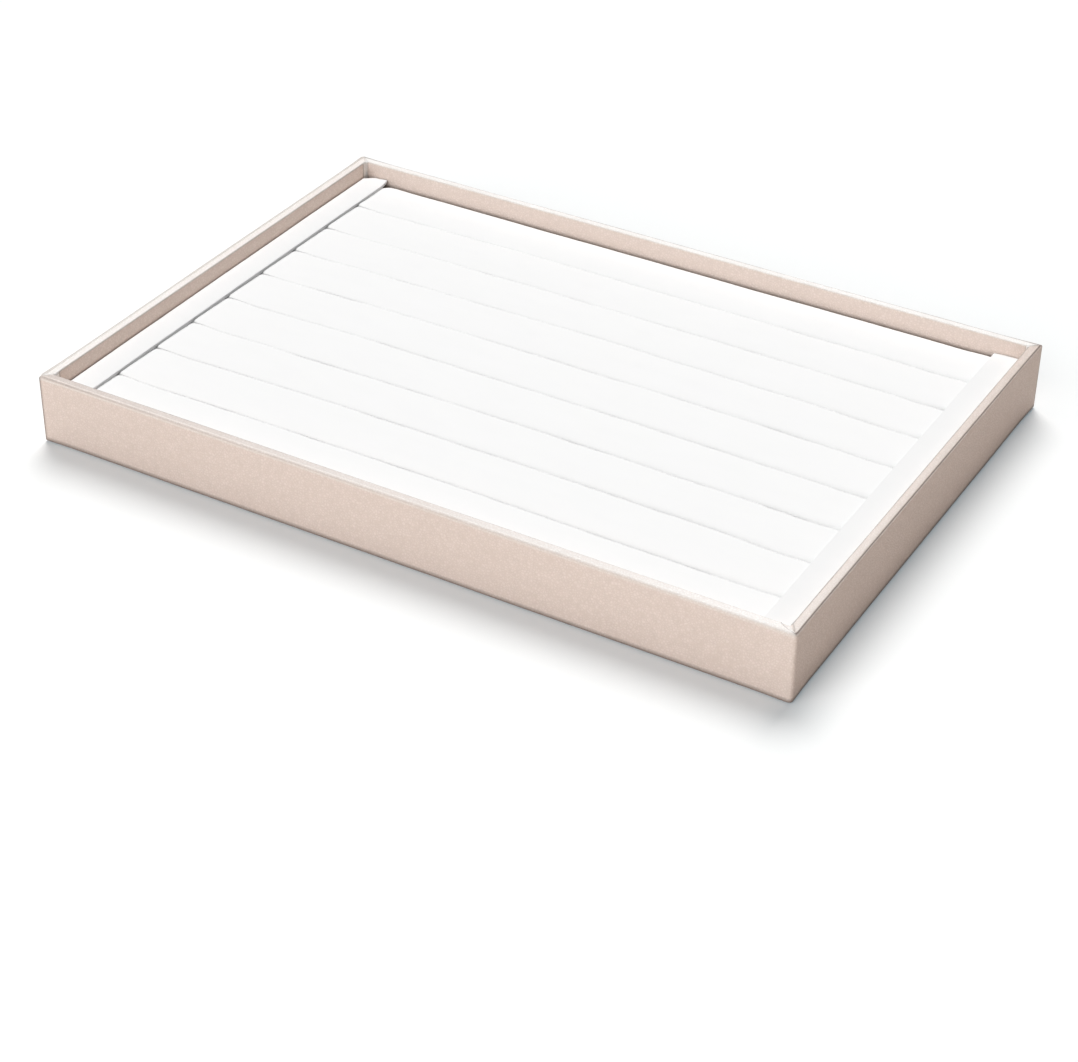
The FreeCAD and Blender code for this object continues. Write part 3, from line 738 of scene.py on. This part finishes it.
def bar_grid(number, skin, recess):
    """Bar as rings round its length: a foot, two sides, two shoulders that are quarters of an ellipse, and
    an arched top. The top is a flat seat under the strips, bulges beside them and swells on by smooth
    steps. Beside the left strip the shoulders are small, and the top leans back by an amount that dies
    away along the bar. Skin is how far the rings lie under the cloth's outside, and recess how far the
    ends stand back."""
    places, insets = bar_stations()
    rng = np.random.default_rng(BAR_SEED + number)
    front, back, flare, pinch = bar_sides(number, places)
    inset = insets + skin
    front, back = front + inset, back - inset
    foot = bar_boxes[number - 1][0].z + inset
    free = clear_of_strips(places)
    swell = smooth_step((free + BULGE_START) / np.where(places < 0, *BULGE_RUNS))
    ripple = BAR_RIPPLE * swell * slow_waves(rng, places, RIPPLE_LENGTH, 5)
    pressed, full = STRIP_FOOT - STRIP_SEAT, bar_boxes[number - 1][1].z
    off_middle = (front + back) / (BAR_HIGH.y - BAR_LOW.y)
    dome = BAR_DOME * smooth_step(free / PRESS_RUN) * (1 - off_middle**2)
    top = pressed + (full - pressed) * swell + dome + ripple - inset
    crown = BAR_CROWN * (HELD_CROWN + (1 - HELD_CROWN) * smooth_step(free / CROWN_RUN))
    pucker = 1 + PUCKER * slow_waves(rng, places, PUCKER_LENGTH, 5)
    held = HELD_SHOULDER + (1 - HELD_SHOULDER) * smooth_step(free / HELD_RUN)
    rounding = pucker * np.where(places < 0, held, 1)
    back_width = np.interp(places, STRIP_INNER_EDGES, SHOULDER_WIDTHS) * rounding + flare
    back_shoulder = np.interp(places, STRIP_INNER_EDGES, SHOULDER_HEIGHTS) * rounding + flare
    width = back_width + PINCH_DROP * pinch
    shoulder = back_shoulder + PINCH_DROP * pinch
    edge = top - crown
    lean = np.where(places < 0, np.exp(-np.clip(free, 0, None) / LEAN_REACH), 0)
    back_edge = edge - LEAN_DROP * swell * lean
    if number == BAR_COUNT:
        back_width = back_shoulder = np.full(len(places), BACK_SHOULDER_RADIUS)
        back_edge = back_edge - BACK_EDGE_DROP * swell

    def arc(centre_across, centre_up, wide, high, start, count):
        angle = start + np.linspace(0, math.pi / 2, count + 1)[:-1]
        across = centre_across[:, None] + np.multiply.outer(wide, np.cos(angle))
        return across, centre_up[:, None] + np.multiply.outer(high, np.sin(angle))

    def line(start_across, start_up, end_across, end_up, count):
        share = np.linspace(0, 1, count + 1)[:-1]
        across = np.multiply.outer(start_across, 1 - share) + np.multiply.outer(end_across, share)
        return across, np.multiply.outer(start_up, 1 - share) + np.multiply.outer(end_up, share)

    foot_radius = np.full(len(places), BAR_FOOT_RADIUS)
    foot_front, foot_back = front + foot_radius, back - foot_radius
    top_front, top_back = front + width, back - back_width
    arch = np.linspace(-1, 1, 25)[:-1]
    top_run = line(top_back, back_edge, top_front, edge, 24)
    runs = [
        line(foot_front, foot, foot_back, foot, 6),
        arc(foot_back, foot + foot_radius, foot_radius, foot_radius, -math.pi / 2, 4),
        line(back, foot + foot_radius, back, back_edge - back_shoulder, 5),
        arc(top_back, back_edge - back_shoulder, back_width, back_shoulder, 0, 9),
        (top_run[0], top_run[1] + np.multiply.outer(crown, 1 - arch**2)),
        arc(top_front, edge - shoulder, width, shoulder, math.pi / 2, 9),
        line(front, edge - shoulder, front, foot + foot_radius, 5),
        arc(foot_front, foot + foot_radius, foot_radius, foot_radius, math.pi, 4),
    ]
    across = np.concatenate([run[0] for run in runs], 1)
    up = np.concatenate([run[1] for run in runs], 1)
    middle = (BAR_LOW.x + BAR_HIGH.x) / 2
    drawn_in = middle + (places - middle) * (1 - 2 * recess / (BAR_HIGH.x - BAR_LOW.x))
    along = np.broadcast_to(drawn_in[:, None], across.shape)
    return np.stack([along, across, up], -1)


def tube_wall(number):
    """Quads between neighbouring rings of points, whose numbers are given ring by ring."""
    following = np.roll(number, -1, axis=1)
    return np.stack([number[:-1], number[1:], following[1:], following[:-1]], -1).reshape(-1, 4)


def sleeve_mesh(outer, inner):
    """Closed skin of an open sleeve: outer rings, inner rings turned over, and a rim at each end."""
    number = np.arange(outer.shape[0] * outer.shape[1]).reshape(outer.shape[:2])
    under = number + number.size
    first_rim = ring_faces(number[0][::-1], under[0][::-1])
    last_rim = ring_faces(number[-1], under[-1])
    points = np.concatenate([outer.reshape(-1, 3), inner.reshape(-1, 3)])
    return points, np.concatenate([tube_wall(number), tube_wall(under)[:, ::-1], first_rim, last_rim])


def tube_mesh(rings):
    """Closed skin of a stack of rings, with each end closed by two smaller rings and a row of quads."""
    count, around = rings.shape[:2]
    number = np.arange(count * around).reshape(count, around)
    shrink = np.array(LID_SHARES)[:, None, None]
    points = [rings.reshape(-1, 3)]
    faces = [tube_wall(number)]
    for end, ring in ((0, number[0][::-1]), (-1, number[-1])):
        middle = rings[end].mean(0)
        first = sum(len(group) for group in points)
        lids = middle + shrink * (points[0][ring] - middle)
        points.append(lids.reshape(-1, 3))
        steps = [ring, first + np.arange(around), first + around + np.arange(around)]
        for outer_ring, inner_ring in zip(steps, steps[1:]):
            faces.append(ring_faces(outer_ring, inner_ring))
        last = steps[-1]
        half = around // 2
        low, high = np.arange(half - 1), around - 1 - np.arange(half - 1)
        faces.append(np.stack([last[low], last[high], last[high - 1], last[low + 1]], 1))
    return np.concatenate(points), np.concatenate(faces)


def microfibre(name, white):
    """Brushed white cloth: a very short nap that drifts between brushed and unbrushed, with fine fibres,
    greyed as painted shade along a strip's edge beside the bars."""
    finish = Finish(name, {
        "Roughness": 0.95,
        "Specular IOR Level": 0.05,
        "Sheen Weight": 0.05,
        "Sheen Roughness": 0.6,
    })
    nap = finish.noise(130, 3.0, (0.35, 1, 1))
    fibre = finish.noise(3600, 4.0)
    shade = tuple(0.955 * part for part in white)
    cloth = finish.mix(0.55 * nap + 0.45 * fibre, (*shade, 1), (*white, 1))
    # Painted shade where the attribute marks a strip's edge
    blank_or_edge_shade = finish.node("Attribute", {"attribute_name": "blank_or_edge_shade"}, output="Fac")
    finish.feed("Base Color", finish.mix(blank_or_edge_shade, cloth, (0.30, 0.29, 0.30, 1)))
    finish.feed("Normal", finish.bump(fibre + 0.6 * nap, 0.05 * MM))
    return finish.material


def foam():
    """Open-cell foam: round pores in a creamy white, darker in colour as painted shade in their hollows."""
    finish = Finish("foam", {"Roughness": 0.95, "Specular IOR Level": 0.1})
    pore = finish.node("TexVoronoi", inputs={"Vector": finish.place, "Scale": 1400.0})
    hole = finish.ramp(pore, 0.25, 0.6)
    # Pores darker in colour: painted shade in the hollows
    finish.feed("Base Color", finish.mix(hole, (0.62, 0.60, 0.54, 1), (0.86, 0.84, 0.78, 1)))
    finish.feed("Normal", finish.bump(hole, 0.12 * MM))
    return finish.material


bar_finish = microfibre("bar_microfibre", (0.882, 0.882, 0.88))
foam_finish = foam()
for number in range(1, BAR_COUNT + 1):
    sleeve_grids = bar_grid(number, 0.0, 0.0), bar_grid(number, COVER_THICKNESS, 0.0)
    bar_cover = new_piece(f"bar_sleeve_{number}", *sleeve_mesh(*sleeve_grids), bar_finish)
    foam_mesh = tube_mesh(bar_grid(number, FOAM_INSET, FOAM_RECESS))
    bar_core = new_piece(f"bar_foam_{number}", *foam_mesh, foam_finish)
    for piece, node, slot in ((bar_cover, "bar_cover", "bar_fabric"), (bar_core, "bar_core", "foam")):
        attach(piece, "insert")
        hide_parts(f"{node}_{number}")

# Press strips: narrow greyboard covered in the same microfibre, its colour darkened as painted shade, glued
# over the bars' ends.
# The cloth is folded in at a strip's two ends and stands a little proud of the board there, up to the wall.
STRIP_WALL_EDGE = (0.3 * MM, 0.3 * MM)
STRIP_BAR_EDGES = {"left": (0.7 * MM, 0.45 * MM), "right": (0.15 * MM, 0.15 * MM)}
STRIP_UNDER_RADIUS = 0.45 * MM
STRIP_TILTS = {"left": 0.20 * MM, "right": 0.35 * MM}
STRIP_BOW = 0.2 * MM
STRIP_CROWN = 0.12 * MM
STRIP_RIPPLE = 0.06 * MM
STRIP_RIPPLE_LENGTH = 70.0 * MM
STRIP_SEEDS = {"left": 700, "right": 701}
STRIP_STATION = 2.0 * MM
STRIP_WALL_GAP = 0.2 * MM
STRIP_END_FOLD = 0.6 * MM
STRIP_END_ROUNDING = 0.4 * MM
STRIP_CUT = {"left": 3.4 * MM, "right": 0.0}
STRIP_CUT_RUN = 12.0 * MM
STRIP_TIP_LIFT = {"left": 0.7 * MM, "right": 0.0}
STRIP_TIP_RUN = 6.0 * MM
STRIP_COVER = 0.5 * MM
# The bars' cloth made darker in colour as painted shade, the right strip a little more
STRIP_SHADED_WHITES = {"left": (0.850, 0.852, 0.852), "right": (0.838, 0.840, 0.840)}
# Painted shade along a strip's side beside the bars
STRIP_EDGE_SHADES = {"left": 0.45, "right": 0.0}
STRIP_EDGE_SHADE_WIDTH = 0.25 * MM


def strip_grid(side, skin):
    """Strip as rings across its width: a flat foot, rounded edges and a slightly arched top that tilts
    down to the bars. At each end the width rounds in by a quarter circle. The back end is cut back by a
    smooth step towards the wall, and its tip beside the bars lifts by another."""
    low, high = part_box(f"{side}_strip_cover")
    low, high = low - Vector((0, STRIP_END_FOLD, 0)), high + Vector((0, STRIP_END_FOLD, 0))
    if side == "left":
        low.x += STRIP_WALL_GAP
    else:
        high.x -= STRIP_WALL_GAP
    low, high = low + Vector((skin, skin, skin)), high - Vector((skin, skin, skin))
    turn = np.linspace(0, math.pi / 2, 12)
    rounding = STRIP_END_ROUNDING * (1 - np.cos(turn))
    middle = np.arange(low.y + STRIP_END_ROUNDING, high.y - STRIP_END_ROUNDING, STRIP_STATION)[1:]
    places = np.concatenate([low.y + rounding, middle, (high.y - rounding)[::-1]])
    tuck = STRIP_END_ROUNDING * (1 - np.sin(turn))
    narrowing = np.concatenate([tuck, np.zeros(len(middle)), tuck[::-1]])
    half_span = (high.y - low.y) / 2
    bow = STRIP_BOW * (1 - ((places - (low.y + high.y) / 2) / half_span) ** 2)
    rng = np.random.default_rng(STRIP_SEEDS[side])
    ripple = STRIP_RIPPLE * slow_waves(rng, places, STRIP_RIPPLE_LENGTH)
    top = high.z + bow + ripple
    left, right = low.x + narrowing, high.x - narrowing
    foot = np.full(len(places), low.z)
    share = np.linspace(0, 1, 13)[:-1]
    quarter = np.linspace(0, math.pi / 2, 9)[:-1]

    def corner(centre_across, centre_up, width, height, start):
        across = centre_across[:, None] + width * np.cos(start + quarter)
        return across, centre_up[:, None] + height * np.sin(start + quarter)

    def run(start_across, start_up, end_across, end_up, arch):
        across = np.multiply.outer(start_across, 1 - share) + np.multiply.outer(end_across, share)
        up = np.multiply.outer(start_up, 1 - share) + np.multiply.outer(end_up, share)
        return across, up + arch * (1 - (2 * share - 1) ** 2)

    under = STRIP_UNDER_RADIUS
    left_edge, right_edge = STRIP_WALL_EDGE, STRIP_BAR_EDGES[side]
    left_top, right_top = top, top - STRIP_TILTS[side]
    if side == "right":
        left_edge, right_edge = right_edge, left_edge
        left_top, right_top = right_top, left_top
    runs = [
        run(left + under, foot, right - under, foot, 0.0),
        corner(right - under, foot + under, under, under, -math.pi / 2),
        corner(right - right_edge[0], right_top - right_edge[1], *right_edge, 0.0),
        run(right - right_edge[0], right_top, left + left_edge[0], left_top, STRIP_CROWN),
        corner(left + left_edge[0], left_top - left_edge[1], *left_edge, math.pi / 2),
        corner(left + under, foot + under, under, under, math.pi),
    ]
    across = np.concatenate([part[0] for part in runs], 1)
    up = np.concatenate([part[1] for part in runs], 1)
    half_width = (high.x - low.x) / 2
    off_middle = (across - low.x - half_width) / half_width
    past_end = (places - high.y)[:, None]
    cut = STRIP_CUT[side] * smooth_step(past_end / STRIP_CUT_RUN + 1) * smooth_step(-off_middle)
    lift = STRIP_TIP_LIFT[side] * smooth_step(past_end / STRIP_TIP_RUN + 1) * smooth_step(off_middle)
    return np.stack([across, places[:, None] - cut, up + lift], -1)


for side, bar_edge in zip(("left", "right"), STRIP_INNER_EDGES):
    points, faces = tube_mesh(strip_grid(side, 0.0))
    # A darker copy of the bars' cloth, as painted shade
    strip_finish = microfibre(f"{side}_strip_shaded_microfibre", STRIP_SHADED_WHITES[side])
    strip = new_piece(f"{side}_press_strip", points, faces, strip_finish)
    # Painted shade along the strip's side beside the bars
    from_edge = np.abs(points[:, 0] - bar_edge)
    paint(strip, "blank_or_edge_shade", STRIP_EDGE_SHADES[side] * smooth_step(1 - from_edge / STRIP_EDGE_SHADE_WIDTH))
    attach(strip, "insert")
    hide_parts(f"{side}_strip_cover")
    card_mesh = tube_mesh(strip_grid(side, STRIP_COVER))
    strip_card = new_piece(f"{side}_strip_card", *card_mesh, card_finish)
    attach(strip_card, "insert")
    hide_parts(f"{side}_strip_board")

# Studio: a white floor that keeps the tray's shadow and a dim surround, both plain white to the camera.
# Two slightly cool lamps, high at the back left and low in front, light the tray, one from above lights
# the white padding evenly up to the walls, and a faint return lights the left wall's inner face.
FLOOR_HALF = 6.0
FLOOR_WHITE = (0.815, 0.735, 0.681, 1)
FLOOR_LIFT = (0.095, 0.145, 0.173, 1)
SURROUND = 0.16
PADDING = [f"bar_sleeve_{number}" for number in range(1, BAR_COUNT + 1)]
PADDING = PADDING + ["left_press_strip", "right_press_strip"]
WHITE_LIGHT, COOL_LIGHT = (1.0, 1.0, 1.0), (0.88, 0.95, 1.0)
LAMPS = {
    "tray": ((-0.27, 0.49, 0.83), 3.33, 38, COOL_LIGHT, "EXCLUDE", PADDING),
    "fill": ((-0.15, -0.94, 0.30), 2.42, 60, COOL_LIGHT, "EXCLUDE", PADDING),
    "padding": ((0.0, 0.06, 1.0), 3.01, 24, WHITE_LIGHT, "INCLUDE", PADDING),
    "return": ((0.99, -0.12, 0.08), 0.62, 30, WHITE_LIGHT, "INCLUDE", ["left_wrap_skin"]),
}
VIEW_AZIMUTH = math.radians(29.795)
VIEW_ELEVATION = math.radians(34.313)
VIEW_ROLL = math.radians(0.840)
VIEW_DISTANCE = 1.03337
VIEW_TARGET = Vector((0.03835, -0.07269, 0.0))
LENS = 85.094
SENSOR_WIDTH = 36.0


def seen_plainly(tree):
    """1 for rays straight from the camera, by way of a reflection or through a clear piece, and else 0."""
    path = tree.nodes.new("ShaderNodeLightPath")
    camera = Value(tree, path.outputs["Is Camera Ray"])
    glossy = Value(tree, path.outputs["Is Glossy Ray"])
    transmitted = Value(tree, path.outputs["Is Transmission Ray"])
    return camera.math("MAXIMUM", camera, camera.math("MAXIMUM", glossy, transmitted))


floor_finish = Finish("studio_floor", {
    "Base Color": FLOOR_WHITE,
    "Roughness": 0.95,
    "Specular IOR Level": 0.0,
    "Emission Strength": 1.0,
})
floor_lift = floor_finish.mix(seen_plainly(floor_finish.tree), (0, 0, 0, 1), FLOOR_LIFT)
floor_finish.feed("Emission Color", floor_lift)
floor_mesh = bpy.data.meshes.new("studio_floor")
floor_corners = FLOOR_HALF * np.array([(-1, -1, 0), (1, -1, 0), (1, 1, 0), (-1, 1, 0)])
floor_mesh.from_pydata(floor_corners.tolist(), [], [(0, 1, 2, 3)])
floor = bpy.data.objects.new("studio_floor", floor_mesh)
bpy.context.scene.collection.objects.link(floor)
dress(floor, floor_finish.material)

world = bpy.data.worlds.new("studio")
world.use_nodes = True
bpy.context.scene.world = world
background = world.node_tree.nodes["Background"]
background.inputs["Color"].default_value = (1, 1, 1, 1)
surround = SURROUND + (1 - SURROUND) * seen_plainly(world.node_tree)
world.node_tree.links.new(surround.socket, background.inputs["Strength"])

for name, (direction, strength, softness, colour, choice, pieces) in LAMPS.items():
    lamp = bpy.data.lights.new(f"{name}_light", "SUN")
    lamp.energy = strength
    lamp.color = colour
    lamp.angle = math.radians(softness)
    light = bpy.data.objects.new(f"{name}_light", lamp)
    light.rotation_euler = Vector(direction).to_track_quat("Z", "Y").to_euler()
    bpy.context.scene.collection.objects.link(light)
    chosen = bpy.data.collections.new(f"{name}_light_choice")
    for piece in pieces:
        chosen.objects.link(bpy.data.objects[piece])
    for member in chosen.collection_objects:
        member.light_linking.link_state = choice
    light.light_linking.receiver_collection = chosen

lens = bpy.data.cameras.new("photo_view")
lens.lens = LENS
lens.sensor_width = SENSOR_WIDTH
lens.sensor_fit = "HORIZONTAL"
camera = bpy.data.objects.new("photo_view", lens)
level = Euler((math.pi / 2 - VIEW_ELEVATION, 0, VIEW_AZIMUTH)).to_matrix()
turned = level @ Matrix.Rotation(VIEW_ROLL, 3, "Z")
camera.matrix_world = Matrix.Translation(VIEW_TARGET + VIEW_DISTANCE * turned.col[2]) @ turned.to_4x4()
bpy.context.scene.collection.objects.link(camera)
bpy.context.scene.camera = camera
bpy.context.scene.view_settings.view_transform = "Standard"
